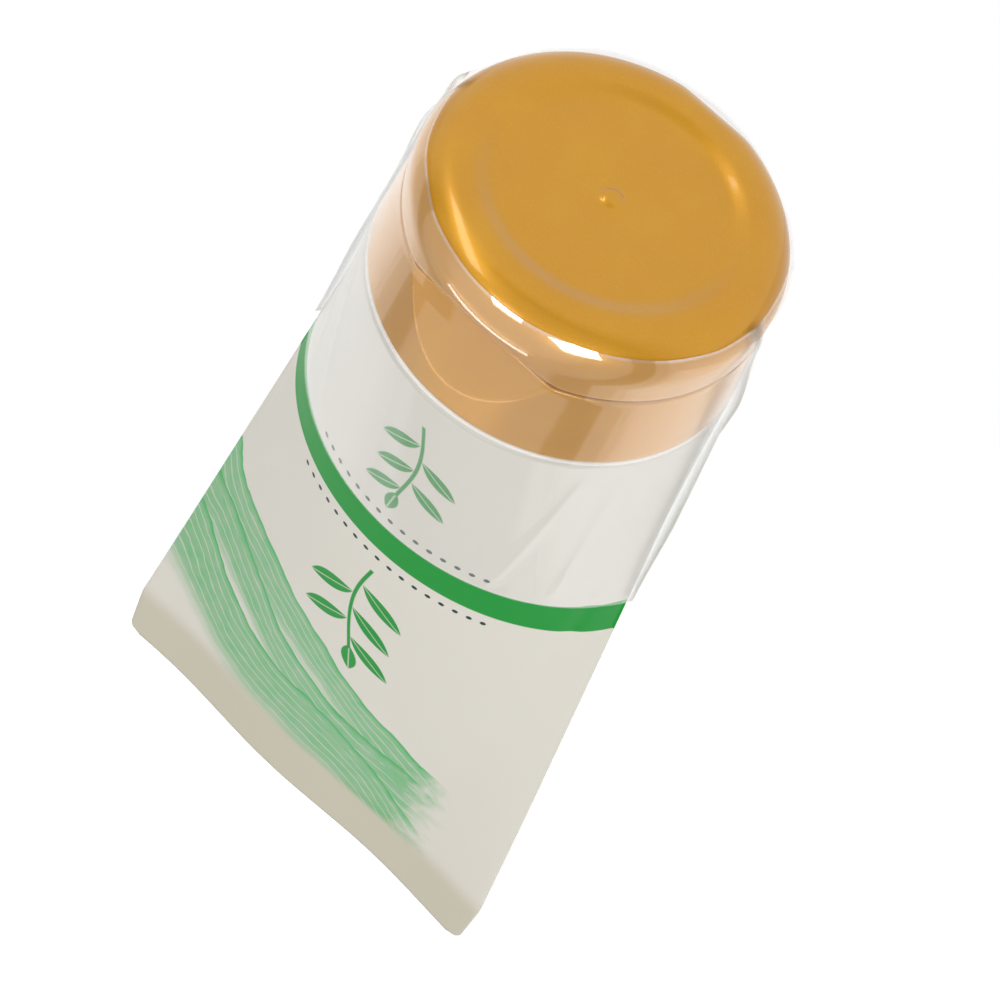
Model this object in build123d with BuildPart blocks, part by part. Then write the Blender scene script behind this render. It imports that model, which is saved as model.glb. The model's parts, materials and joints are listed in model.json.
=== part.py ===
"""Soft lubricant tube with a flat end seal, a flip-top cap and a clear shrink band over the cap.

Every piece is drawn about the tube's own axis: Z runs from the seal to the cap's top, X across the
seal, and Y to the front, where the thumb recess is. Z = 0 is the circle where the soft sleeve meets
the moulded shoulder. At the end the pieces are laid on the tube's back, as it comes to rest.
"""
import os
from math import asin, atan2, cos, degrees, pi, sin, sqrt, tan

from build123d import *

# Driving dimensions, in millimetres.
# The soft sleeve: round at the shoulder, pressed flat at the seal.
tube_radius = 25.0
tube_length = 149.6
seal_height = 13.0
seal_thickness = 1.2
seal_corner = 2.0

# The moulded head that closes the round end.
shoulder_thickness = 0.5
shoulder_round = 0.35
shoulder_rise = 3.0
neck_radius = 9.0
neck_bore = 5.0

# The cap: one round body that parts into a lid and a base, which flares out to meet the shoulder.
cap_radius = 23.8
cap_top = 21.2
cap_wall = 1.4
cap_round = 5.2
parting = 12.3
parting_gap = 0.3
foot_inset = 0.1
skirt_gap = 0.1
collar_wall = 1.3
collar_clearance = 0.1

# The thumb recess in the front of the base, and the undercut lip of the lid over it.
recess_depth = 2.7
recess_height = 8.2
lip_height = 2.8

# The spout in the base, and the pin and ring under the lid that close it.
spout_radius = 4.5
spout_tip_radius = 3.8
spout_height = 3.3
orifice_radius = 2.0
pin_clearance = 0.4
pin_engagement = 2.0
ring_clearance = 0.7
ring_wall = 1.0
ring_engagement = 1.4

# The dished top of the lid, with the small mark of the moulding gate.
rim_flat = 1.4
dish_slope_width = 1.4
dish_edge_depth = 1.0
dish_depth = 1.3
dish_round = 1.6
gate_radius = 1.6
gate_height = 0.35
gate_round = 0.17

# The thin hinge at the back: a flat land, and a round bead on the turning axis.
hinge_inset = 0.6
hinge_land_height = 4.0
bead_radius = 0.5
bead_length = 8.0
bead_clearance = 0.25

# The clear band shrunk over cap and shoulder, with the ear of its flat fold on each side.
film_thickness = 0.2
film_cap_gap = 0.35
film_tube_gap = 0.2
film_top_drop = 2.6
film_skirt = 42.0
ear_reach = 1.3
ear_tip_radius = 0.5
ear_drop = 10.6

# How finely the band is drawn: sections over the lid's rim, points across a face.
rim_steps = 3
face_steps = 12

# Sizes that follow from the ones above.
wedge_length = tube_length - seal_height
base_foot_radius = tube_radius - foot_inset
film_tube_reach = tube_radius + film_tube_gap + film_thickness
film_cap_reach = max(cap_radius, base_foot_radius) + film_cap_gap + film_thickness
lie_angle = degrees(atan2(film_tube_reach - seal_thickness / 2, tube_length))
deck_height = parting - cap_wall
skirt_bottom = shoulder_thickness + skirt_gap
shoulder_seat = base_foot_radius - cap_wall - skirt_gap
collar_bottom = shoulder_thickness + shoulder_rise + skirt_gap
lid_bottom = parting + parting_gap
lid_root = cap_top - dish_depth - cap_wall / 2
dish_radius = cap_radius - cap_round - rim_flat
spout_top = parting + spout_height
pin_radius = orifice_radius - pin_clearance
ring_bore = spout_radius + ring_clearance
hinge_y = hinge_inset - cap_radius
hinge_z = parting + parting_gap / 2
rim_height = cap_top - cap_round
film_top = cap_top - film_top_drop


def wedge(radius, thickness):
    """A body that is round at Z = 0 and runs in straight lines to a flat edge, the seal's."""
    side = degrees(asin(thickness / 2 / radius))
    with BuildPart() as body:
        with BuildSketch(Plane.XY.offset(-wedge_length)):
            Rectangle(pi * radius, thickness)
        with BuildSketch():
            with BuildLine():
                front = CenterArc((0, 0), radius, side, 180 - 2 * side)
                back = CenterArc((0, 0), radius, 180 + side, 180 - 2 * side)
                Line(front @ 1, back @ 0)
                Line(back @ 1, front @ 0)
            make_face()
        loft(ruled=True)
    return body.part


def base_radius(height):
    """Outer radius of the base at a height: it flares from the parting line to its foot."""
    return cap_radius + (base_foot_radius - cap_radius) * (parting - height) / (parting - skirt_bottom)


def lid_profile(inset):
    """Half of the lid's section about the axis, drawn in from its outside by the inset."""
    top = cap_top - inset
    rim = cap_radius - inset
    with BuildSketch(Plane.XZ) as profile:
        with BuildLine():
            FilletPolyline(
                (rim, lid_bottom),
                (rim, top),
                (dish_radius, top),
                (dish_radius - dish_slope_width, top - dish_edge_depth),
                (0, top - dish_depth),
                radius=[cap_round - inset, dish_round, dish_round],
            )
            Polyline((0, top - dish_depth), (0, lid_bottom), (rim, lid_bottom))
        make_face()
    return profile.sketch


# Tube sleeve, with its contents: a sealed soft pack that is one closed solid.
with BuildPart() as tube_sleeve:
    add(wedge(tube_radius, seal_thickness))
    with BuildSketch(Plane.XY.offset(-tube_length)):
        Rectangle(pi * tube_radius, seal_thickness)
    extrude(amount=seal_height)
    fillet(tube_sleeve.edges().filter_by(Axis.Y).group_by(Axis.Z)[0], seal_corner)

# Tube head: a rounded rim, the sloped shoulder inside the skirt, and the neck that the cap sits on.
with BuildPart() as tube_head:
    Cylinder(tube_radius, shoulder_thickness, align=(Align.CENTER, Align.CENTER, Align.MIN))
    fillet(tube_head.edges().sort_by(Axis.Z)[-1], shoulder_round)
    with Locations((0, 0, shoulder_thickness)):
        Cone(shoulder_seat, neck_radius, shoulder_rise, align=(Align.CENTER, Align.CENTER, Align.MIN))
    with BuildSketch():
        Circle(neck_radius)
    extrude(amount=deck_height)
    with BuildSketch():
        Circle(neck_bore)
    extrude(amount=deck_height, mode=Mode.SUBTRACT)

# Cap base: flared skirt, deck and spout over the neck, with the slanted thumb recess at the front.
recess_edge = (0, cap_radius - recess_depth, parting)
recess_run = base_radius(parting - recess_height) - cap_radius + recess_depth
recess_plane = Plane(recess_edge, x_dir=(1, 0, 0), z_dir=(0, recess_height, recess_run))

with BuildPart() as base_hollow:
    with Locations((0, 0, skirt_bottom)):
        Cone(
            base_foot_radius - cap_wall,
            base_radius(deck_height) - cap_wall,
            deck_height - skirt_bottom,
            align=(Align.CENTER, Align.CENTER, Align.MIN),
        )
    with BuildSketch(Plane.XY.offset(collar_bottom)):
        Circle(neck_radius + collar_clearance + collar_wall)
    extrude(amount=deck_height - collar_bottom, mode=Mode.SUBTRACT)
    split(bisect_by=recess_plane.offset(-cap_wall), keep=Keep.BOTTOM)

with BuildPart() as cap_base:
    with Locations((0, 0, skirt_bottom)):
        Cone(
            base_foot_radius,
            cap_radius,
            parting - skirt_bottom,
            align=(Align.CENTER, Align.CENTER, Align.MIN),
        )
    split(bisect_by=recess_plane, keep=Keep.BOTTOM)
    add(base_hollow.part, mode=Mode.SUBTRACT)
    with BuildSketch():
        Circle(neck_radius + collar_clearance)
    extrude(amount=deck_height, mode=Mode.SUBTRACT)
    with Locations((0, 0, parting)):
        Cone(spout_radius, spout_tip_radius, spout_height, align=(Align.CENTER, Align.CENTER, Align.MIN))
    with Locations((0, 0, spout_top)):
        Hole(orifice_radius, spout_top - deck_height)
    with Locations((0, hinge_y, parting - hinge_land_height)):
        Box(
            cap_radius,
            cap_radius,
            cap_top,
            align=(Align.CENTER, Align.MAX, Align.MIN),
            mode=Mode.SUBTRACT,
        )
    with Locations((0, hinge_y, hinge_z)):
        Cylinder(bead_radius, bead_length, rotation=(0, 90, 0))

# Cap lid: rounded rim and dished top, undercut at the front into a lip that the thumb lifts.
lip_edge = (0, cap_radius - recess_depth, lid_bottom)
lip_plane = Plane(lip_edge, x_dir=(1, 0, 0), z_dir=(0, lip_height, -recess_depth))

with BuildPart() as lid_hollow:
    add(lid_profile(cap_wall))
    revolve(axis=Axis.Z)
    split(bisect_by=lip_plane.offset(-cap_wall), keep=Keep.BOTTOM)

with BuildPart() as cap_lid:
    add(lid_profile(0))
    revolve(axis=Axis.Z)
    split(bisect_by=lip_plane, keep=Keep.BOTTOM)
    add(lid_hollow.part, mode=Mode.SUBTRACT)
    with BuildSketch(Plane.XY.offset(spout_top - ring_engagement)):
        Circle(ring_bore + ring_wall)
        Circle(ring_bore, mode=Mode.SUBTRACT)
    extrude(amount=lid_root - spout_top + ring_engagement)
    with BuildSketch(Plane.XY.offset(spout_top - pin_engagement)):
        Circle(pin_radius)
    extrude(amount=lid_root - spout_top + pin_engagement)
    with BuildSketch(Plane.XY.offset(lid_root)):
        Circle(gate_radius)
    extrude(amount=cap_top - dish_depth + gate_height - lid_root)
    fillet(cap_lid.edges(Select.LAST).group_by(Axis.Z)[-1], gate_round)
    with Locations((0, hinge_y, lid_bottom)):
        Box(
            cap_radius,
            cap_radius,
            cap_top,
            align=(Align.CENTER, Align.MAX, Align.MIN),
            mode=Mode.SUBTRACT,
        )
    with Locations((0, hinge_y, hinge_z)):
        Cylinder(
            bead_radius + bead_clearance,
            bead_length + 2 * bead_clearance,
            rotation=(0, 90, 0),
            mode=Mode.SUBTRACT,
        )


def film_radius(height, lift):
    """Radius of the band at a height: over the lid's rounded rim, the flared base or the tube."""
    if height > rim_height:
        reach = cap_round + film_cap_gap + lift
        return cap_radius - cap_round + sqrt(reach**2 - (height - rim_height) ** 2)
    if height > parting:
        return cap_radius + film_cap_gap + lift
    if height >= skirt_bottom:
        return base_radius(height) + film_cap_gap + lift
    return tube_radius + film_tube_gap + lift


def ear_tip(height):
    """How far the fold's ear stands from the axis: in at the rim, then straight down past the base."""
    tip = max(film_cap_reach, film_tube_reach) + ear_reach
    least = film_radius(height, film_thickness) + film_thickness
    return least + (tip - least) * min((film_top - height) / ear_drop, 1)


def eared_section(height, lift):
    """The band's section: the face of cap or tube, drawn out to a rounded point on each side.

    Below the shoulder the face narrows with the sleeve, which runs in straight lines from the round
    shoulder to the flat seal. The ear's straight flank leaves the face as a tangent.
    """
    radius = film_radius(max(height, 0), lift)
    tip_radius = ear_tip_radius - film_thickness + lift
    leave = asin((radius - tip_radius) / (ear_tip(max(height, 0)) - ear_tip_radius))
    narrowed = max(-height, 0) / wedge_length
    face = []
    for step in range(face_steps + 1):
        turn = leave * (2 * step / face_steps - 1)
        across = radius * ((1 - narrowed) * sin(turn) + narrowed * turn)
        face.append((across, radius * (1 - narrowed) * cos(turn) + narrowed * seal_thickness / 2))
    steep = atan2((1 - narrowed) * sin(leave), (1 - narrowed) * cos(leave) + narrowed)
    edge_x, edge_y = face[-1]
    tip_x = edge_x + edge_y / tan(steep) - tip_radius / sin(steep)
    point_x = tip_x + tip_radius * sin(steep)
    point_y = tip_radius * cos(steep)
    lean = 90 - degrees(steep)
    with BuildSketch(Plane.XY.offset(height)) as section:
        with BuildLine():
            for side in (1, -1):
                drawn = [(x * side, y * side) for x, y in face]
                if height < 0:
                    Spline(drawn)
                else:
                    ThreePointArc(drawn[0], drawn[face_steps // 2], drawn[-1])
                Line(drawn[-1], (point_x * side, point_y * side))
                CenterArc((tip_x * side, 0), tip_radius, 90 - 90 * side - lean, 2 * lean)
                Line((point_x * side, -point_y * side), (edge_x * side, -edge_y * side))
        make_face()
    return section.sketch


def film_body(lift):
    """Everything inside the band's inner face, or inside its outer face when lifted by the film."""
    heights = []
    for step in range(rim_steps, -1, -1):
        heights.append(rim_height + (film_top - rim_height) * step / rim_steps)
    heights += [parting, film_top - ear_drop, skirt_bottom, 0, -film_skirt / 2, -film_skirt]
    with BuildPart() as body:
        for height in heights:
            add(eared_section(height, lift))
        loft(ruled=True)
    return body.part


# Shrink band: the clear film, a thin shell open at both ends.
with BuildPart() as shrink_band:
    add(film_body(film_thickness))
    add(film_body(0), mode=Mode.SUBTRACT)

# Lay the tube on its back, centred over the origin, and write one file for each piece.
pieces = {
    "tube_sleeve": tube_sleeve,
    "tube_head": tube_head,
    "cap_base": cap_base,
    "cap_lid": cap_lid,
    "shrink_band": shrink_band,
}
turned = Location((0, 0, 0), (90 - lie_angle, 0, 0))
box = Compound([piece.part.moved(turned) for piece in pieces.values()]).bounding_box()
lying = Location((0, -box.center().Y, -box.min.Z)) * turned

os.makedirs("parts", exist_ok=True)
for name, piece in pieces.items():
    laid = piece.part.moved(lying)
    laid.label = name
    export_step(laid, f"parts/{name}.step")
    print(name, round(laid.volume, 1), laid.bounding_box())
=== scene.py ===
# %% [markdown]
# # A soft gel tube with a gold flip-top cap
# The imported model holds the tube's true sizes, its hinge and its resting place. This lesson dresses
# it: a pressed laminate sleeve with a printed ring, a pearly gold cap, and a clear band shrunk over
# the cap. We start by loading the imported model, whose boxes give the sizes used below.

# %% Load the imported model
import json
import math

import bpy
import numpy as np
from mathutils import Matrix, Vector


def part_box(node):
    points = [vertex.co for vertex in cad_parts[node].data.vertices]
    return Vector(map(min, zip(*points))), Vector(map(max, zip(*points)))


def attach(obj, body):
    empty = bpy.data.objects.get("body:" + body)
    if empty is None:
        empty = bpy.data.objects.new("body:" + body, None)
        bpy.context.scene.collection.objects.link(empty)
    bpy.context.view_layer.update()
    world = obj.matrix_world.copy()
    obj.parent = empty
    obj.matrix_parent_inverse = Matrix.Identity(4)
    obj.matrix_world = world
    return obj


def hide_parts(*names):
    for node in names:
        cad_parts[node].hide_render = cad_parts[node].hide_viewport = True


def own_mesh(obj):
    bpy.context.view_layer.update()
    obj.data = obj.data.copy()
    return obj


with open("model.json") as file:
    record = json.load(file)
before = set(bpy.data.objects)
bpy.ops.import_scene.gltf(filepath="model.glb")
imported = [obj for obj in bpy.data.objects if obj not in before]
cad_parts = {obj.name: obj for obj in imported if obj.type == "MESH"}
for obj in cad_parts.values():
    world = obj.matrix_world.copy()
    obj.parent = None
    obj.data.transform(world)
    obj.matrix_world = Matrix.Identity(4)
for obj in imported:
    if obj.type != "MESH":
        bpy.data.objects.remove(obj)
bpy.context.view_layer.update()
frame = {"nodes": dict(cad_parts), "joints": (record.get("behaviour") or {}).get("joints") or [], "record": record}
print("packed nodes:", sorted(frame["nodes"]))

# %% [markdown]
# ## The tube's own axes
# The tube lies on its back, a little nose-up, so nothing on it lines up with the floor. Every piece is
# therefore worked out in the tube's own millimetres: x across the seal, y to the front where the thumb
# recess is, z along the tube towards the cap, with z = 0 where the sleeve meets the shoulder. One
# function turns such points into metres in the model's frame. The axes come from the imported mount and
# hinge, so they follow the model if it is packed again.

# %% Find the tube's own axes
MM = 0.001
hinge = next(joint for joint in frame["joints"] if joint["name"] == "lid_hinge")
lid_ring = next(mount for mount in frame["record"]["mounts"] if mount["name"] == "lid_top_ring")
parting = 12.3
parting_gap = 0.3
hinge_inset = 0.6


def half_width(node):
    """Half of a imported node's size across the seal, in millimetres."""
    low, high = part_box(node)
    return round((high.x - low.x) / 2 / MM, 2)


tube_radius = half_width("tube_head")
cap_radius = half_width("cap_lid")
hinge_y = hinge_inset - cap_radius
hinge_z = parting + parting_gap / 2
along = np.array(lid_ring["axis"])
across = np.array([1.0, 0.0, 0.0])
forward = np.cross(along, across)
axes = np.array([across, forward, along])
origin = np.array(hinge["pos_m"]) / MM - hinge_y * forward - hinge_z * along


def in_row_frame(points):
    """Points in the tube's own millimetres, as metres in the model's frame."""
    return (origin + np.asarray(points, float) @ axes) * MM


print("tube radius", tube_radius, "cap radius", cap_radius, "shoulder centre", in_row_frame([0, 0, 0]))

# %% [markdown]
# ## Two tools for round things
# Nearly all of this object is made of rings stacked along the tube. One helper joins a stack of rings
# into a mesh with quads. Another draws the section of a turned part as straight runs with rounded
# corners, because a real moulding has no sharp edge, and it is the rounded edges that catch the light.

# %% Rings into a mesh
def ring_mesh(name, rings, ends):
    """An object from a stack of closed rings. Ends are "joined", "capped" or "open"."""
    count = len(rings[0])
    last = len(rings) - 1
    here = np.arange(count)
    after = np.roll(here, -1)
    pairs = [(ring, ring + 1) for ring in range(last)]
    if ends == "joined":
        pairs.append((last, 0))
    faces = []
    for low, high in pairs:
        quads = [low * count + here, low * count + after, high * count + after, high * count + here]
        faces += np.stack(quads, 1).tolist()
    if ends == "capped":
        faces.append(list(range(count)))
        faces.append(list(range(last * count, len(rings) * count)))
    mesh = bpy.data.meshes.new(name)
    mesh.from_pydata(in_row_frame(np.concatenate(rings)).tolist(), [], faces)
    piece = bpy.data.objects.new(name, mesh)
    bpy.context.collection.objects.link(piece)
    bpy.context.view_layer.objects.active = piece
    bpy.ops.object.mode_set(mode="EDIT")
    bpy.ops.mesh.select_all(action="SELECT")
    bpy.ops.mesh.normals_make_consistent(inside=False)
    bpy.ops.object.mode_set(mode="OBJECT")
    mesh.shade_smooth()
    print(name, "has", len(mesh.vertices), "points")
    return piece


# %% A section with rounded corners
fewest_steps = 3


def unit(vector):
    """The vector at length one."""
    return vector / np.linalg.norm(vector)


def corner_arc(before, corner, after, rounding, spacing):
    """Points of the arc that rounds the corner between two straight runs."""
    back = unit(before - corner)
    on = unit(after - corner)
    half = math.acos(np.clip(back @ on, -1, 1)) / 2
    middle = corner + unit(back + on) * rounding / math.sin(half)
    begin = corner + back * rounding / math.tan(half) - middle
    end = corner + on * rounding / math.tan(half) - middle
    sweep = math.pi - 2 * half
    steps = max(fewest_steps, math.ceil(rounding * sweep / spacing))
    arc = []
    for step in range(steps + 1):
        ahead = step / steps * sweep
        outward = begin * math.sin(sweep - ahead) + end * math.sin(ahead)
        arc.append(middle + outward / math.sin(sweep))
    return arc


def rounded_path(corners, spacing):
    """Points along straight runs between corners (radius, height, rounding), each corner rounded."""
    spots = np.array([corner[:2] for corner in corners], float)
    path = [spots[0]]
    for index in range(1, len(corners) - 1):
        path += corner_arc(spots[index - 1], spots[index], spots[index + 1], corners[index][2], spacing)
    path.append(spots[-1])
    filled = [path[0]]
    for spot in path[1:]:
        start = filled[-1]
        pieces = max(1, math.ceil(np.linalg.norm(spot - start) / spacing))
        filled += [start + (spot - start) * piece / pieces for piece in range(1, pieces + 1)]
    return np.array(filled)


# %% [markdown]
# ## The cap's lid
# The lid is one turned moulding: a fat rounded rim, a shallow dish with the mark of the moulding gate
# in its middle, and under it a ring and a pin that close the spout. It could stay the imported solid, but
# that has sharp edges. Turning a rounded section gives soft ones. Two flats are then pressed into the
# rings: the undercut lip at the front, where the thumb lifts, and the narrow land of the hinge behind.

# %% Turn a section and press its flats
cap_wall = 1.4
land_softness = 0.3
front_share = 0.65
front_count = 220
back_count = 240
edge_on = 0.01
front_turns = np.linspace(-front_share, front_share, front_count, endpoint=False)
back_turns = np.linspace(front_share, 2 * math.pi - front_share, back_count, endpoint=False)
turns = np.concatenate([front_turns, back_turns])


def softer_least(first, second, softness):
    """The lesser of two lengths, with the corner where they cross rounded off."""
    share = np.clip(0.5 + 0.5 * (second - first) / softness, 0, 1)
    return second + (first - second) * share - softness * share * (1 - share)


def eased(value, start, end):
    """A smooth step from 0 at start to 1 at end."""
    share = np.clip((value - start) / (end - start), 0, 1)
    return share * share * (3 - 2 * share)


def turned_rings(section, wall_radius, front_limit, back_limit, softness, core):
    """Rings of a turned section, flattened where the limits on y are nearer than the wall."""
    to_front = np.cos(turns)
    rings = []
    for radius, height in section:
        full = wall_radius(height)
        front_reach = front_limit(height) / np.maximum(to_front, edge_on)
        back_reach = back_limit(height) / np.maximum(-to_front, edge_on)
        wall = softer_least(np.full(len(turns), full), front_reach, softness)
        wall = softer_least(wall, back_reach, land_softness)
        share = 1 + (wall / full - 1) * eased(radius, core, full - cap_wall)
        heights = np.full(len(turns), height)
        rings.append(np.stack([radius * share * np.sin(turns), radius * share * to_front, heights], 1))
    return rings


print("a turned ring has", len(turns), "points,", front_count, "of them round the thumb recess")

# %% Draw the gate mark
cap_top = 21.2
dish_floor = cap_top - 1.3
gate_flat = 0.9
gate_radius = 1.7
gate_round = 1.5
gate_top = dish_floor + 0.45
gate_reach = 4.0
gate_spacing = 0.12
hairline = 0.02
gate_section = rounded_path(
    [
        (hairline, gate_top),
        (gate_flat, gate_top, gate_round),
        (gate_radius, dish_floor, gate_round),
        (gate_reach, dish_floor),
    ],
    gate_spacing,
)
print("gate mark drawn with", len(gate_section), "points")

# %% Draw the lid's section
cap_round = 5.2
cap_spacing = 0.45
lid_bottom = parting + parting_gap
lid_inside = cap_radius - cap_wall
dish_edge = cap_top - 1.0
dish_under = dish_floor - cap_wall
dish_radius = 17.4
dish_slope = 2.3
dish_round = 3.2
ring_bore = 5.2
ring_wall = 1.0
ring_bottom = 14.2
pin_radius = 1.6
pin_bottom = 13.6
edge_round = 0.35
root_round = 0.4
hidden_round = 0.3
tip_round = 0.5
lid_section = rounded_path(
    [
        (gate_reach, dish_floor),
        (dish_radius - dish_slope, dish_edge, dish_round),
        (dish_radius, cap_top, dish_round),
        (cap_radius, cap_top, cap_round),
        (cap_radius, lid_bottom, edge_round),
        (lid_inside, lid_bottom, edge_round),
        (lid_inside, cap_top - cap_wall, cap_round - cap_wall),
        (dish_radius, cap_top - cap_wall, dish_round),
        (dish_radius - dish_slope, dish_edge - cap_wall, dish_round),
        (ring_bore + ring_wall, dish_under, root_round),
        (ring_bore + ring_wall, ring_bottom, hidden_round),
        (ring_bore, ring_bottom, hidden_round),
        (ring_bore, dish_under, root_round),
        (pin_radius, dish_under, root_round),
        (pin_radius, pin_bottom, tip_round),
        (hairline, pin_bottom),
    ],
    cap_spacing,
)
lid_section = np.concatenate([gate_section[:-1], lid_section])
print("lid's section has", len(lid_section), "points")

# %% Press the lip and the hinge's land into the lid
recess_depth = 2.7
lip_height = 2.8
lip_softness = 0.7
bead_length = 8.0
bead_room = 0.55
room_start = 2.5
room_full = 1.8
room_beside = 0.9
room_fade = 0.6
room_above = 2.0


def lip_limit(height):
    """How far forward the lid reaches at a height: drawn back at its foot into the undercut lip."""
    return cap_radius - recess_depth + max(height - lid_bottom, 0) * recess_depth / lip_height


def lid_land_limit(height):
    """How far back the lid reaches: to the turning axis, at every height."""
    return -hinge_y


def lid_radius(height):
    """The lid's wall is straight."""
    return cap_radius


lid_rings = turned_rings(lid_section, lid_radius, lip_limit, lid_land_limit, lip_softness, dish_radius)
for ring in lid_rings:
    over_bead = eased(-ring[:, 1], cap_radius - room_start, cap_radius - room_full)
    over_bead *= eased(bead_length / 2 + room_beside - np.abs(ring[:, 0]), 0, room_fade)
    over_bead *= eased(lid_bottom + room_above - ring[:, 2], 0, room_above)
    ring[:, 2] += bead_room * over_bead
lid = ring_mesh("cap_lid_moulding", lid_rings, "capped")

# %% [markdown]
# ## The cap's base
# The base is the ring that stays on the tube: a skirt that flares out to the tube's own width, a flat
# deck with the spout and its small orifice, and a slanted thumb recess that starts low on the front and
# ends under the lid's lip. It is turned and pressed in the same way, with finer rings on the outer wall,
# where the edge of the recess runs across them. The hinge is a thin bead on the turning axis.

# %% Draw the base's section
skirt_bottom = 0.6
collar_bottom = 3.6
deck_bottom = parting - cap_wall
base_foot_radius = tube_radius - 0.1
wall_spacing = 0.2
hidden_spacing = 0.8
neck_room = 9.1
collar_radius = 10.4
spout_radius = 4.5
spout_tip_radius = 3.8
spout_top = 15.6
spout_root_round = 0.6
orifice_radius = 2.0
foot_round = 0.2


def base_radius(height):
    """Outer radius of the base at a height: it flares from the parting line to its foot."""
    return cap_radius + (base_foot_radius - cap_radius) * (parting - height) / (parting - skirt_bottom)


outer_corners = [
    (base_foot_radius - cap_wall / 2, skirt_bottom),
    (base_foot_radius, skirt_bottom, foot_round),
    (cap_radius, parting, edge_round),
    (cap_radius - recess_depth, parting),
]
inner_corners = [
    (cap_radius - recess_depth, parting),
    (spout_radius, parting, spout_root_round),
    (spout_tip_radius, spout_top, tip_round),
    (orifice_radius, spout_top, edge_round),
    (orifice_radius, deck_bottom, foot_round),
    (neck_room, deck_bottom, hidden_round),
    (neck_room, collar_bottom, hidden_round),
    (collar_radius, collar_bottom, hidden_round),
    (collar_radius, deck_bottom, root_round),
    (base_radius(deck_bottom) - cap_wall, deck_bottom, root_round),
    (base_foot_radius - cap_wall, skirt_bottom, hidden_round),
    (base_foot_radius - cap_wall / 2 - hairline, skirt_bottom),
]
base_section = np.concatenate(
    [rounded_path(outer_corners, wall_spacing), rounded_path(inner_corners, hidden_spacing)[1:]]
)
print("base's section has", len(base_section), "points")

# %% Press the thumb recess and the hinge's land into the base
recess_height = 8.2
recess_softness = 0.18
recess_run = base_radius(parting - recess_height) - cap_radius + recess_depth
land_bottom = parting - 4
land_blend = 0.5
land_clear = base_foot_radius + 1


def recess_limit(height):
    """How far forward the base reaches at a height: drawn back at its top by the thumb recess."""
    return cap_radius - recess_depth + (parting - height) * recess_run / recess_height


def land_limit(height):
    """How far back the base reaches at a height: drawn in at its top by the land of the hinge."""
    drawn_in = float(eased(height, land_bottom - land_blend, land_bottom))
    return land_clear - (land_clear + hinge_y) * drawn_in


base_rings = turned_rings(
    base_section, base_radius, recess_limit, land_limit, recess_softness, collar_radius
)
base = ring_mesh("cap_base_moulding", base_rings, "joined")

# %% Shape the hinge's bead
bead_radius = 0.5
bead_round = 0.2
bead_tip = 0.01
bead_spacing = 0.1
bead_segments = 24
bead_turns = np.linspace(0, 2 * math.pi, bead_segments, endpoint=False)
bead_section = rounded_path(
    [
        (0, bead_tip),
        (0, bead_radius, bead_round),
        (bead_length, bead_radius, bead_round),
        (bead_length, bead_tip),
    ],
    bead_spacing,
)
bead_rings = []
for place, size in bead_section:
    sideways_on_bead = np.full(bead_segments, place - bead_length / 2)
    front_of_bead = hinge_y + size * np.cos(bead_turns)
    height_on_bead = hinge_z + size * np.sin(bead_turns)
    bead_rings.append(np.stack([sideways_on_bead, front_of_bead, height_on_bead], 1))
bead = ring_mesh("hinge_bead", bead_rings, "capped")

# %% [markdown]
# ## The shoulder
# The round end of the sleeve is closed by a moulded head: a low rounded rim, a shoulder that slopes up
# inside the cap, and a neck. Only the rim is seen, as a fine bright line under the cap, because its small
# rounding catches the light. The same turned rings make it, with nothing pressed in.

# %% Shape the shoulder
neck_radius = 9.0
neck_bore = 5.0
rim_step = 0.5
shoulder_seat = 23.4
shoulder_top = 3.5
seam_radius = 15.0
seat_round = 0.05
step_round = 0.1
shoulder_section = rounded_path(
    [
        (seam_radius, 0.0),
        (tube_radius, 0.0, seat_round),
        (tube_radius, rim_step, edge_round),
        (shoulder_seat, rim_step, step_round),
        (neck_radius, shoulder_top, hidden_round),
        (neck_radius, deck_bottom, hidden_round),
        (neck_bore, deck_bottom, hidden_round),
        (neck_bore, 0.0, seat_round),
        (seam_radius - hairline, 0.0),
    ],
    hidden_spacing,
)
outward_turns = np.stack([np.sin(turns), np.cos(turns)], 1)
shoulder_rings = []
for radius, rise in shoulder_section:
    shoulder_rings.append(np.column_stack([radius * outward_turns, np.full(len(turns), rise)]))
shoulder = ring_mesh("tube_shoulder", shoulder_rings, "joined")

# %% [markdown]
# ## The sleeve
# A laminate tube starts as a round sleeve. Its open end is pressed flat and sealed after filling, so the
# wall runs in straight lines from a circle to a flat edge half as wide again. Each ring of this mesh is
# one step between the two. A real sleeve is never perfect: the flat end waves a little, and the soft
# wall has a few long dents where it was held. Each point also keeps its place on the unrolled wall, in
# millimetres, because the print is laid out there.

# %% Lay out the dents of the sleeve
dents = (
    ((37, -92), (20, -52), 1.6, 0.4),
    ((-36, -14), (-29, -62), 1.5, 0.45),
    ((-33, -60), (-26, -108), 5.0, 0.5),
    ((0, -70), (4, -115), 16.0, -0.5),
)


def dent(arc, height, start, end, width, depth):
    """A long soft dent in the wall between two places on the unrolled sleeve."""
    run = np.subtract(end, start)
    share = np.clip(((arc - start[0]) * run[0] + (height - start[1]) * run[1]) / (run @ run), 0, 1)
    away = np.hypot(arc - start[0] - share * run[0], height - start[1] - share * run[1])
    return depth * np.exp(-((away / width) ** 2)) * np.sin(math.pi * (0.1 + 0.8 * share))


def face_dents(arc, height):
    """How far the front wall is dented in, over the unrolled sleeve. A depth below 0 swells it."""
    return sum(dent(arc, height, *places) for places in dents)


print("sleeve has", len(dents), "dents")

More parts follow.
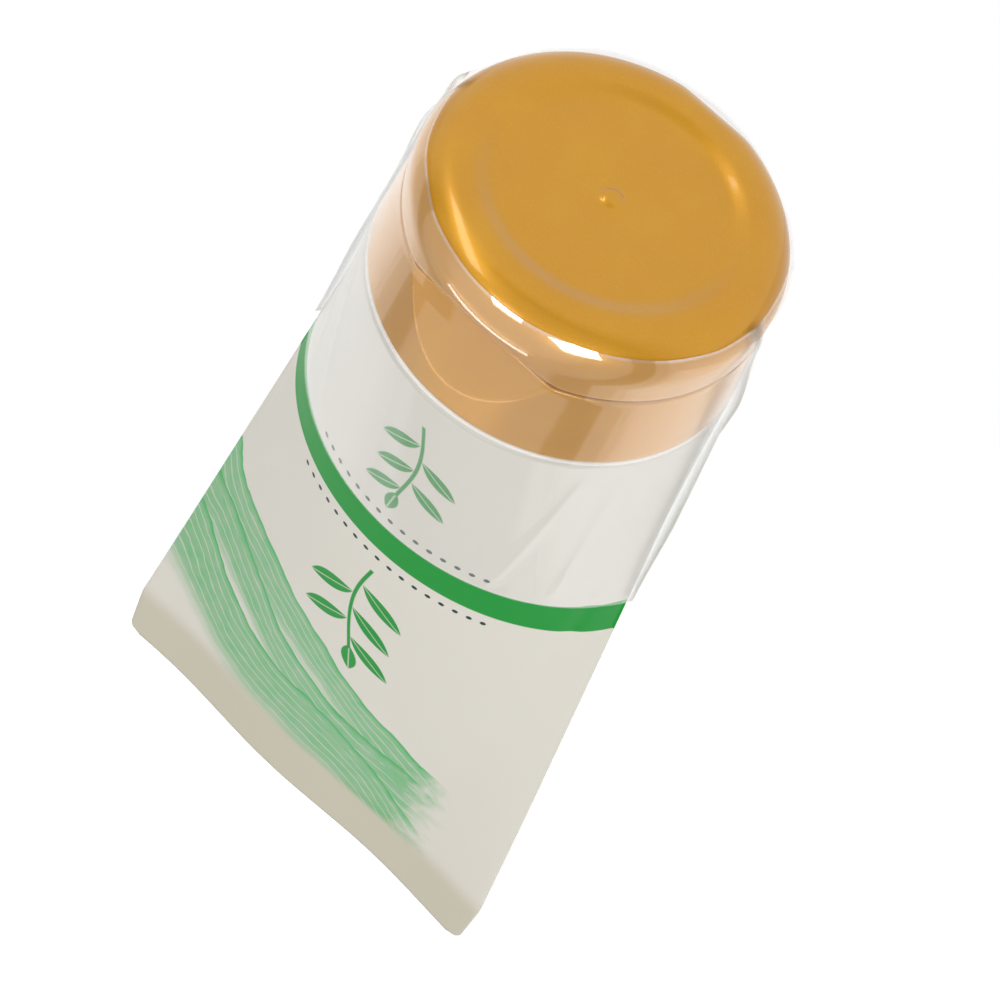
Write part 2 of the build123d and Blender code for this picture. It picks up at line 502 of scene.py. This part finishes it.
# %% Shape the sleeve
wedge_length = 136.6
tube_length = 149.6
seal_half = 0.6
seal_corner = 2.0
seal_wave = 0.55
seal_wave_pitch = 3.2
seal_wave_start = 0.9
least_share = 0.02
face_columns = 150
side_columns = 5
wedge_rows = 190
seal_rows = 18
face_turns = np.linspace(-math.pi / 2, math.pi / 2, face_columns)
side_turns = np.linspace(math.pi / 2, -math.pi / 2, side_columns + 2)[1:-1]


def sleeve_ring(height):
    """One ring of the sleeve, and the place of each of its points on the unrolled wall."""
    share = min(-height / wedge_length, 1)
    drawn_in = seal_corner - (height + tube_length)
    corner = seal_corner - math.sqrt(seal_corner**2 - drawn_in**2) if drawn_in > 0 else 0
    across_face = tube_radius * ((1 - share) * np.sin(face_turns) + share * face_turns)
    across_face *= 1 - corner / across_face[-1]
    side = max(share, least_share) * seal_half
    half = tube_radius * (1 - share) * np.cos(face_turns) + side
    arc = tube_radius * face_turns
    dented = half - face_dents(arc, height) * np.cos(face_turns) ** 0.5 * (1 - share**4)
    side_out = across_face[-1] + side * np.cos(side_turns)
    side_up = side * np.sin(side_turns)
    edge = np.full(side_columns, tube_radius * math.pi / 2)
    x = np.concatenate([across_face, side_out, across_face[::-1], -side_out])
    y = np.concatenate([dented, side_up, -half[::-1], -side_up])
    y += seal_wave * share**6 * (1 + np.sin(x / tube_radius * seal_wave_pitch + seal_wave_start))
    folded = np.concatenate([arc, edge, arc[::-1], -edge])
    fronts = [np.ones(face_columns), np.sin(side_turns), -np.ones(face_columns), -np.sin(side_turns)]
    heights = np.full(len(x), height)
    return np.stack([x, y, heights], 1), np.stack([folded, heights, np.concatenate(fronts)], 1)


def keep_places(piece, name, stack):
    """Keep with each point of a piece its place on the unrolled wall."""
    places = np.concatenate([place for ring, place in stack])
    kept = piece.data.attributes.new(name, "FLOAT_VECTOR", "POINT")
    kept.data.foreach_set("vector", places.astype(np.float32).ravel())
    print(piece.name, "is", round(np.ptp(places[:, 1]), 1), "mm long")


sleeve_heights = list(-np.linspace(0, wedge_length, wedge_rows))
sleeve_heights += list(-np.linspace(wedge_length, tube_length, seal_rows)[1:])
sleeve_stack = [sleeve_ring(rise) for rise in sleeve_heights]
sleeve = ring_mesh("pressed_sleeve", [ring for ring, place in sleeve_stack], "capped")
keep_places(sleeve, "print_place", sleeve_stack)

# %% [markdown]
# ## The clear shrink band
# New tubes come with a thin clear film shrunk over cap and shoulder. It starts as flat tubing, so it
# keeps a fold on each side that stands off as an ear. The band is one sheet of rings given a little
# thickness by a Solidify modifier. Heat leaves it uneven: the top edge wanders over the lid's rim, fine
# pleats run down from it, and long creases lie on the sleeve, so all three are added to the rings.

# %% Outline the band with its ears
film_gap = 0.42
film_skirt = 39.4
ear_tip = 26.6
ear_round = 0.45
ear_top = 17.0
ear_full = 5.0
ear_fade = 18.0
ear_loss = 0.95
flank_ripple = 0.12
rim_height = cap_top - cap_round
film_face_columns = 130
film_flank_columns = 12
film_tip_columns = 6


def film_radius(height):
    """Radius of the band: over the lid's rim, straight down the lid, then out with the flared base."""
    if height > rim_height:
        bulge = math.sqrt((cap_round + film_gap) ** 2 - (height - rim_height) ** 2)
        return cap_radius - cap_round + bulge
    return base_radius(min(height, parting)) + film_gap


def film_outline(height):
    """Half of one ring, drawn out to the ear of its fold, and how near each point is to that fold."""
    share = max(-height, 0) / wedge_length
    radius = film_radius(max(height, 0))
    stands = eased(-height, -ear_top, -ear_full) * (1 - ear_loss * eased(-height, ear_fade, film_skirt))
    tip = radius + ear_round + (ear_tip - radius - ear_round) * float(stands)
    leave = math.asin(min((radius - ear_round) / (tip - ear_round), 1))
    angles = np.linspace(-leave, leave, film_face_columns)
    face_x = radius * ((1 - share) * np.sin(angles) + share * angles)
    face_y = radius * (1 - share) * np.cos(angles) + share * seal_half
    steep = math.atan2((1 - share) * math.sin(leave), (1 - share) * math.cos(leave) + share)
    tip_x = face_x[-1] + face_y[-1] / math.tan(steep) - ear_round / math.sin(steep)
    bend = np.linspace(math.pi / 2 - steep, steep - math.pi / 2, film_tip_columns)
    turn_x = tip_x + ear_round * np.cos(bend)
    turn_y = ear_round * np.sin(bend)
    steps = np.linspace(0, 1, film_flank_columns + 2)[1:-1]
    flank_x = face_x[-1] + (turn_x[0] - face_x[-1]) * steps
    flank_y = face_y[-1] + (turn_y[0] - face_y[-1]) * steps
    uneven = 1 + math.sin(0.9 * height + 2 * math.sin(0.37 * height))
    flank_y += flank_ripple * uneven * np.sin(math.pi * steps)
    x = np.concatenate([face_x, flank_x, turn_x, flank_x[::-1]])
    y = np.concatenate([face_y, flank_y, turn_y, -flank_y[::-1]])
    to_fold = np.concatenate([0 * face_x, steps, np.ones(film_tip_columns), steps[::-1]])
    return x, y, to_fold


# %% Shape the band with its pleats and creases
film_top = 19.9
pleat_length = 4
pleat_depth = 0.0016
top_wander = 0.2
creases = ((-26.0, 0.07), (-21.5, -0.05), (24.0, 0.06), (28.5, -0.03))
crease_depth = 0.16
crease_width = 0.7
crease_start = 0.5
crease_fade = 6
film_bend = -2
rim_rows = 24
wall_rows = 66
skirt_rows = 60
film_random = np.random.default_rng(7)
pleats = film_random.uniform(-1, 1, (9, 3))


def waves_round(around, count, spread, shift):
    """Uneven waves round the band: about so many, spread and shifted by the random draws."""
    return sum(a * np.sin((count + spread * b) * around + shift * c) for a, b, c in pleats)


def film_ring(height):
    """One ring of the band, and the place of each of its points on the unrolled band."""
    x, y, to_fold = film_outline(height)
    heights = np.full(2 * len(x), height)
    ring = np.stack([np.concatenate([x, -x]), np.concatenate([y, -y]), heights], 1)
    around = np.arctan2(ring[:, 0], ring[:, 1])
    arc = tube_radius * around
    near_top = float(eased(height, rim_height - pleat_length, film_top))
    pleated = pleat_depth * waves_round(around, 11, 9, 3) * near_top
    begun = eased(-height, crease_start, crease_fade)
    on_sleeve = float(begun * (1 - eased(-height, film_skirt - crease_fade, film_skirt)))
    beside = [(arc - place - lean * height) / crease_width for place, lean in creases]
    creased = crease_depth / tube_radius * sum(np.exp(-(gap**2)) for gap in beside) * on_sleeve
    ring[:, :2] *= (1 + pleated + creased)[:, None]
    ring[:, 2] += top_wander * waves_round(around, 4, 3, 5) * near_top**2
    return ring, np.stack([arc, heights, np.tile(to_fold, 2)], 1)


film_heights = np.concatenate(
    [
        np.linspace(film_top, rim_height, rim_rows),
        np.linspace(rim_height, film_bend, wall_rows)[1:],
        np.linspace(film_bend, -film_skirt, skirt_rows)[1:],
    ]
)
film_stack = [film_ring(rise) for rise in film_heights]
film = ring_mesh("clear_shrink_band", [ring for ring, place in film_stack], "open")
keep_places(film, "film_place", film_stack)

# %% [markdown]
# ## Shader maths as plain arithmetic
# A procedural finish is a web of small nodes, which is hard to read. The first class wraps one output
# socket, so that adding or multiplying two of them adds the Math node for it. Every other node comes
# from one method of the second class, which sets the node's own settings first and then its sockets.

# %% A socket that can be added and multiplied
class Wire:
    """One output socket of a finish's nodes, used as a number in plain arithmetic."""

    def __init__(self, finish, socket):
        self.finish = finish
        self.socket = socket

    def also(self, output):
        """Another output of the node that this one comes from."""
        return Wire(self.finish, self.socket.node.outputs[output])

    def math(self, operation, first, second):
        """A Math node on two wires or numbers."""
        settings = {"operation": operation}
        return self.finish.node("ShaderNodeMath", settings, {0: first, 1: second})

    def __add__(self, other):
        return self.math("ADD", self, other)

    __radd__ = __add__

    def __sub__(self, other):
        return self.math("SUBTRACT", self, other)

    def __rsub__(self, other):
        return self.math("SUBTRACT", other, self)

    def __mul__(self, other):
        return self.math("MULTIPLY", self, other)

    __rmul__ = __mul__

    def __truediv__(self, other):
        return self.math("DIVIDE", self, other)

    def __rtruediv__(self, other):
        return self.math("DIVIDE", other, self)

    def __abs__(self):
        return self.math("ABSOLUTE", self, 0)

    def least(self, other):
        return self.math("MINIMUM", self, other)

    def most(self, other):
        return self.math("MAXIMUM", self, other)

    def sine(self):
        return self.math("SINE", self, 0)

    def power(self, exponent):
        return self.math("POWER", self, exponent)

    def pingpong(self, reach):
        return self.math("PINGPONG", self, reach)


# %% A finish that any node can be added to
class Finish:
    """A node tree of a material or the world, with one method that adds any node to it."""

    def __init__(self, owner):
        owner.use_nodes = True
        self.owner = owner
        self.tree = owner.node_tree

    def node(self, kind, settings, sockets, output=0):
        """A new node with its settings and sockets set, as a wire from one of its outputs."""
        made = self.tree.nodes.new(kind)
        for name, value in settings.items():
            setattr(made, name, value)
        for name, value in sockets.items():
            self.feed(made.inputs[name], value)
        return Wire(self, made.outputs[output])

    def feed(self, socket, value):
        """Link a wire to a socket, or set the socket to a plain value."""
        if isinstance(value, Wire):
            self.tree.links.new(value.socket, socket)
        else:
            socket.default_value = value

    def shade(self, **sockets):
        """Feed sockets of the material's shader, named with _ for each space."""
        shader = self.tree.nodes["Principled BSDF"]
        for name, value in sockets.items():
            self.feed(shader.inputs[name.replace("_", " ")], value)
        print(self.owner.name, "has", len(self.tree.nodes), "nodes")

    def mixed(self, share, first, second):
        """A colour between two colours: sockets 6 and 7 of a Mix node, and its output 2."""
        settings = {"data_type": "RGBA"}
        return self.node("ShaderNodeMix", settings, {0: share, 6: first, 7: second}, 2)

    def step(self, value, start, end):
        """A smooth step from 0 at start to 1 at end."""
        settings = {"interpolation_type": "SMOOTHSTEP"}
        sockets = {"Value": value, "From Min": start, "From Max": end}
        return self.node("ShaderNodeMapRange", settings, sockets)

    def noise(self, where, scale, detail=2.0):
        """Soft noise from 0 to 1, at so many bumps to a unit of the given place."""
        sockets = {"Vector": where, "Scale": scale, "Detail": detail}
        return self.node("ShaderNodeTexNoise", {}, sockets)

    def on_object(self):
        """The place of each point in the object's own metres."""
        return self.node("ShaderNodeTexCoord", {}, {}, "Object")

    def kept_place(self, name):
        """The place on the unrolled wall that a piece keeps with each of its points."""
        return self.node("ShaderNodeAttribute", {"attribute_name": name}, {}, "Vector")

    def parts(self, vector):
        """The three numbers of a vector."""
        split = self.node("ShaderNodeSeparateXYZ", {}, {"Vector": vector})
        return [split.also(axis) for axis in "XYZ"]

    def bumped(self, height, distance, strength):
        """A normal for a surface that stands up by height times distance, in metres."""
        sockets = {"Height": height, "Distance": distance, "Strength": strength}
        return self.node("ShaderNodeBump", {}, sockets)


def new_finish(name):
    """A finish on a new material."""
    return Finish(bpy.data.materials.new(name))


def srgb(text):
    """A colour written as on a paint chart, in the linear light that shaders use."""
    parts = [int(text[start:start + 2], 16) / 255 for start in (0, 2, 4)]
    return tuple(((part + 0.055) / 1.055) ** 2.4 for part in parts) + (1.0,)


# %% [markdown]
# ## The printed laminate
# The sleeve is a white laminate with a silky, slightly warm skin. A green ring is printed all round it,
# with finer print on the front: dotted rules beside the ring, two leafy sprigs, and watercolour waves
# low down. All of it is drawn from the place that each point has on the unrolled wall, in millimetres, so
# the print stays sharp at any size. The sealed end is bare and a little darker, as pressed film is.

# %% Draw the ring and the dotted rules
laminate = new_finish("printed_laminate")
unrolled = laminate.kept_place("print_place")
arc, height, front_side = laminate.parts(unrolled)
edge_blur = 0.12
fine_blur = 0.1
ring_middle = -43.7
ring_half = 3.75
dot_pitch = 2.2
dot_inner = 0.4
dot_outer = 0.55


def band(value, middle, half, blur):
    """1 inside a band about the middle of a value, and 0 outside it."""
    return 1 - laminate.step(abs(value - middle), half - blur, half + blur)


def dotted(middle, reach):
    """A row of small dots across the front at a height."""
    from_dot = (across_dots.power(2) + (height - middle).power(2)).power(0.5)
    return (1 - laminate.step(from_dot, dot_inner, dot_outer)) * band(arc, 0, reach, fine_blur)


on_front = laminate.step(front_side, -0.2, 0.2)
across_dots = arc.pingpong(dot_pitch / 2)
ring_print = band(height, ring_middle, ring_half, edge_blur)
rules = dotted(-37.2, 17.0) + dotted(-50.2, 19.2)
print("ring printed from", ring_middle - ring_half, "to", ring_middle + ring_half, "mm")

# %% Draw the sprigs
vein_inner = 0.05
vein_outer = 0.22
vein_ink = 0.35
stem_sway = 1.1
stem_bend = 6
stem_half = 0.28
stem_reach = 11
end_leaf = 24.1
side_leaves = 5
first_leaf = 4.5
leaf_pitch = 3.5
leaf_lean = 52
leaf_beside = 3.3
leaf_below = 2.6


def leaf(middle_arc, middle_height, lean, half, width):
    """A pointed leaf about a place, leaning from the tube's length by so many degrees."""
    cosine = math.cos(math.radians(lean))
    sine = math.sin(math.radians(lean))
    right = arc - middle_arc
    above = height - middle_height
    along_leaf = (above * cosine + right * sine) / half
    beside_leaf = right * cosine - above * sine
    swell = width * (1 - along_leaf.power(2))
    vein = laminate.step(abs(beside_leaf), vein_inner, vein_outer)
    inside = laminate.step(swell - abs(beside_leaf), 0, 2 * edge_blur)
    return inside * (vein_ink + (1 - vein_ink) * vein)


def sprig(start, size, hand):
    """A swaying stem from a height towards the seal, with leaves on both sides and one at its end."""
    sway = hand * size * stem_sway * ((height - start) / (stem_bend * size)).sine()
    stem = band(arc - sway, 0, stem_half * size**0.5, fine_blur)
    stem *= band(height, start - stem_reach * size, stem_reach * size, 0.2)
    last = leaf(hand * 0.9 * size, start - end_leaf * size, -8 * hand, 3.2 * size, 1.2 * size)
    grown = stem.most(last)
    for count in range(side_leaves):
        root = first_leaf + leaf_pitch * count
        side = hand if count % 2 == 0 else -hand
        middle = hand * stem_sway * math.sin(-root / stem_bend) + leaf_beside * side
        below = start - (root + leaf_below) * size
        grown = grown.most(leaf(middle * size, below, -leaf_lean * side, 4 * size, 1.45 * size))
    return grown


front_print = sprig(-7.5, 1.0, 1).most(sprig(-55.0, 1.35, -1)) * on_front
ink = (ring_print + front_print).least(1)
dark_ink = rules * on_front
print("print so far takes", len(laminate.tree.nodes), "nodes")

# %% Draw the waves
brush = laminate.noise(unrolled, 0.07, 3.0)
mottle = laminate.noise(unrolled, 0.35, 4.0)
wavy_height = height + 7 * (brush - 0.5)
pool_width = 2.2
line_pitch = 2.1
line_wobble = 2.5


def wave(base, slope, swing, reach, start, depth_of_wash):
    """A wave of wash below a crest, and the fine pale lines that follow the crest through it."""
    crest = base + slope * arc + swing * (arc / reach + start).sine()
    depth = crest - wavy_height
    body = laminate.step(depth, -0.15, 0.25)
    body *= 1 - laminate.step(depth, depth_of_wash * 0.55, depth_of_wash)
    pooled = 1 - laminate.step(depth, 0.0, pool_width)
    lines = laminate.step((depth * line_pitch + line_wobble * brush).sine(), 0.80, 0.95) * (1 - pooled)
    return body * (0.72 + 0.28 * pooled + 0.5 * (mottle - 0.5) - 0.35 * lines)


washes = wave(-95, 0.52, 3.0, 10.0, 0.4, 20)
washes = washes.most(wave(-107, 0.50, -3.2, 8.0, 1.5, 18))
washes = washes.most(wave(-118, 0.42, 2.8, 7.0, 2.4, 26))
far_end = laminate.step(arc + 9 * (mottle - 0.5), -27, -17)
above_seal = laminate.step(height + 2 * (brush - 0.5), -138.5, -136.0)
washes = (washes * far_end * above_seal).least(1).most(0)
print("print with its waves takes", len(laminate.tree.nodes), "nodes")

# %% Finish the laminate
skin = laminate.mixed(laminate.noise(unrolled, 0.02), srgb("d6d2c7"), srgb("dbd7cd"))
pressed = 1 - laminate.step(height, -139, -132)
skin = laminate.mixed(pressed * 0.8, skin, srgb("c3bca7"))
wash_colour = laminate.mixed(mottle, srgb("1f9d47"), srgb("5cb877"))
printed = laminate.mixed(washes, skin, wash_colour)
printed = laminate.mixed(ink, printed, srgb("009030"))
printed = laminate.mixed(dark_ink, printed, srgb("1b3a38"))
grain = laminate.noise(unrolled, 1.6, 3.0)
grain_depth = 0.00003
laminate.shade(
    Base_Color=printed,
    Roughness=0.42 + 0.10 * laminate.noise(unrolled, 0.12),
    Coat_Weight=0.1,
    Coat_Roughness=0.05,
    Specular_IOR_Level=0.06,
    Normal=laminate.bumped(grain, grain_depth, 0.25),
)
sleeve.data.materials.append(laminate.owner)
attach(sleeve, "tube")
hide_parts("tube_sleeve")

# %% [markdown]
# ## White moulded plastic
# The shoulder is a plain white moulding. It is a little cooler and glossier than the printed sleeve, and
# a slow noise keeps its colour from being flat.

# %% Finish the shoulder
white = new_finish("shoulder_plastic")
on_shoulder = white.on_object()
white.shade(
    Base_Color=white.mixed(white.noise(on_shoulder, 60.0), srgb("eceae5"), srgb("f3f1ed")),
    Roughness=0.22 + 0.08 * white.noise(on_shoulder, 900.0),
    Coat_Weight=0.4,
    Coat_Roughness=0.08,
)
shoulder.data.materials.append(white.owner)
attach(shoulder, "tube")
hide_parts("tube_head")

# %% [markdown]
# ## Pearly gold plastic
# The cap is moulded from plastic with fine mica flakes. That gives a soft metallic glow under a glossy
# skin, warm in the light and deeper where it turns away. Flakes are far smaller than a pixel here, so a
# fine noise varies colour and gloss a little, and slow streaks show how the plastic flowed from the
# gate in the middle of the lid.

# %% Finish the cap
gold = new_finish("pearl_gold_plastic")
on_cap = gold.on_object()
flakes = gold.noise(on_cap, 5000.0, 2.0)
flow = gold.noise(on_cap, 140.0, 3.0)
tone = gold.mixed(flow, srgb("c6880e"), srgb("cf9618"))
tone = gold.mixed(gold.step(flakes, 0.45, 0.75) * 0.2, tone, srgb("dfa93a"))
gold.shade(
    Base_Color=tone,
    Metallic=0.34 + 0.1 * flakes,
    Roughness=0.28 + 0.08 * flow,
    Specular_IOR_Level=0.25,
    Coat_Weight=0.6,
    Coat_Roughness=0.1,
)
for piece, body, node in ((lid, "lid", "cap_lid"), (base, "tube", "cap_base"), (bead, "tube", None)):
    piece.data.materials.append(gold.owner)
    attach(piece, body)
    if node:
        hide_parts(node)

# %% [markdown]
# ## Clear film
# Film this thin bends nothing behind it: it only lays a reflection over it, faint straight on and strong
# at a glancing angle. So it is a white mirror whose alpha grows towards a glancing angle, with a trace of
# haze. Where the film is folded or cut it is thicker or frayed, so it shows a little more there, and along
# the folds its mirror is tinted grey as a painted darker reflection. The band would be torn off before
# the lid is opened; here it stays on the tube as the hinge turns.

# %% Finish the film
film_thickness = 0.12
cut_inner = 0.35
cut_outer = 0.1
clear = new_finish("clear_film")
_, film_height, to_fold = clear.parts(clear.kept_place("film_place"))
glance = clear.node("ShaderNodeLayerWeight", {}, {"Blend": 0.5}, "Facing")
mirror = 0.085 + 0.14 * glance.power(4)
# fold marks the film's folds: more alpha there for the thicker double film, and a grey tint that is a painted
# darker reflection
fold = clear.step(to_fold, 0.6, 1.0)
cut_top = clear.step(film_height, film_top - cut_inner, film_top - cut_outer)
cut_foot = 1 - clear.step(film_height, cut_outer - film_skirt, cut_inner - film_skirt)
film_haze = clear.noise(clear.on_object(), 90.0)
clear.shade(
    # the grey along the folds is a painted darker reflection, not a colour of the film
    Base_Color=clear.mixed(fold, srgb("ffffff"), srgb("a8a6a0")),
    Metallic=1.0,
    Roughness=0.015 + 0.02 * film_haze,
    Alpha=(mirror + 0.32 * fold + 0.3 * cut_top * film_haze + 0.05 * cut_foot).least(1),
)
film.data.materials.append(clear.owner)
thickness = film.modifiers.new("film_thickness", "SOLIDIFY")
thickness.thickness = film_thickness * MM
thickness.offset = 1.0
thickness.use_rim = False
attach(film, "tube")
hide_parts("shrink_band")
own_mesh(film)

# %% [markdown]
# ## Table, light and camera
# A tube like this is photographed on a white table under large soft lights, in a room with dimmer
# walls. The table and everything below the horizon are plain white to the camera and in reflections,
# while the light that falls on the object comes from an even sky and four soft panels, so that colours
# come out about as they are written. The table ends just under the shoulder, so that the cap stands over
# its edge and the lid has room to swing open and down.

# %% Lay the table
table_far = 1.5
table_edge = -0.069
table_glow = 0.5
table_mesh = bpy.data.meshes.new("white_table")
table_corners = [(-table_far, table_edge, 0), (table_far, table_edge, 0)]
table_corners += [(table_far, table_far, 0), (-table_far, table_far, 0)]
table_mesh.from_pydata(table_corners, [], [(0, 1, 2, 3)])
table = bpy.data.objects.new("white_table", table_mesh)
bpy.context.collection.objects.link(table)


def seen(finish):
    """1 for rays from the camera and in reflections or glass, 0 for light that falls on things."""
    ray = finish.node("ShaderNodeLightPath", {}, {}, "Is Camera Ray")
    return ray.most(ray.also("Is Glossy Ray")).most(ray.also("Is Transmission Ray"))


table_finish = new_finish("white_table")
shown = table_glow * seen(table_finish)
table_finish.shade(
    Base_Color=(0.8, 0.8, 0.8, 1.0),
    Roughness=0.9,
    Specular_IOR_Level=0.0,
    Emission_Color=table_finish.node("ShaderNodeCombineXYZ", {}, {"X": shown, "Y": shown, "Z": shown}),
    Emission_Strength=1.0,
)
table_mesh.materials.append(table_finish.owner)

# %% Light the room
scene = bpy.context.scene
scene.view_settings.view_transform = "Standard"
world = bpy.data.worlds.new("white_room")
scene.world = world
room = Finish(world)
side_light = 0.16
sideways, _, upward = room.parts(room.node("ShaderNodeTexCoord", {}, {}, "Generated"))
sky_light = 0.66 - side_light * sideways
low_wall = 0.22 * room.step(upward, 0.02, 0.05)
dark_wall = 0.36 * room.step(upward, 0.16, 0.19)
upper_wall = 0.28 * room.step(upward, 0.36, 0.40)
ceiling = 0.25 * room.step(upward, 0.70, 0.85)
surroundings = 1 - low_wall - dark_wall + upper_wall + ceiling
backdrop = room.tree.nodes["Background"]
room.feed(backdrop.inputs["Strength"], sky_light + (surroundings - sky_light) * seen(room))
backdrop.inputs["Color"].default_value = (1.0, 1.0, 1.0, 1.0)
print(world.name, "has", len(room.tree.nodes), "nodes")

# %% Hang the soft panels
panel_distance = 0.7


def panel(name, direction, width, tall, brightness):
    """A soft oblong light that faces the shoulder, its brightness given against a white wall's."""
    data = bpy.data.lights.new(name, "AREA")
    data.shape = "RECTANGLE"
    data.size = width
    data.size_y = tall
    data.energy = math.pi * width * tall * brightness
    lamp = bpy.data.objects.new(name, data)
    bpy.context.collection.objects.link(lamp)
    away = unit(np.array(direction))
    side = unit(np.cross([0, 0, 1], away))
    turn = np.eye(4)
    turn[:3, 0], turn[:3, 1], turn[:3, 2] = side, np.cross(away, side), away
    turn[:3, 3] = in_row_frame([0, 0, 0]) + panel_distance * away
    lamp.matrix_world = Matrix(turn.tolist())
    print(name, "at", np.round(turn[:3, 3], 2), "with", round(data.energy, 2), "watts")


panel("window_panel", (0.50, -0.78, 0.36), 0.12, 0.52, 5.5)
panel("key_panel", (-0.55, -0.30, 0.78), 0.24, 0.28, 6.0)
panel("overhead_panel", (0.08, -0.40, 0.91), 0.20, 0.20, 3.5)
panel("strip_panel", (0.14, 0.67, 0.73), 0.60, 0.07, 4.0)

# %% Place the camera
camera_place = np.array([-56.02, 190.28, 238.77])
camera_right = np.array([-0.73186, -0.61722, 0.28883])
camera_look = np.array([0.14334, -0.55379, -0.82023])
camera_data = bpy.data.cameras.new("photo_camera")
camera_data.lens = 89.26
camera_data.sensor_width = 36.0
camera_data.clip_start = 0.01
camera = bpy.data.objects.new("photo_camera", camera_data)
bpy.context.collection.objects.link(camera)
pose = np.eye(4)
pose[:3, 0] = camera_right @ axes
pose[:3, 1] = np.cross(camera_right, camera_look) @ axes
pose[:3, 2] = -camera_look @ axes
pose[:3, 3] = in_row_frame(camera_place)
camera.matrix_world = Matrix(pose.tolist())
scene.camera = camera
print("camera at", np.round(pose[:3, 3], 3))
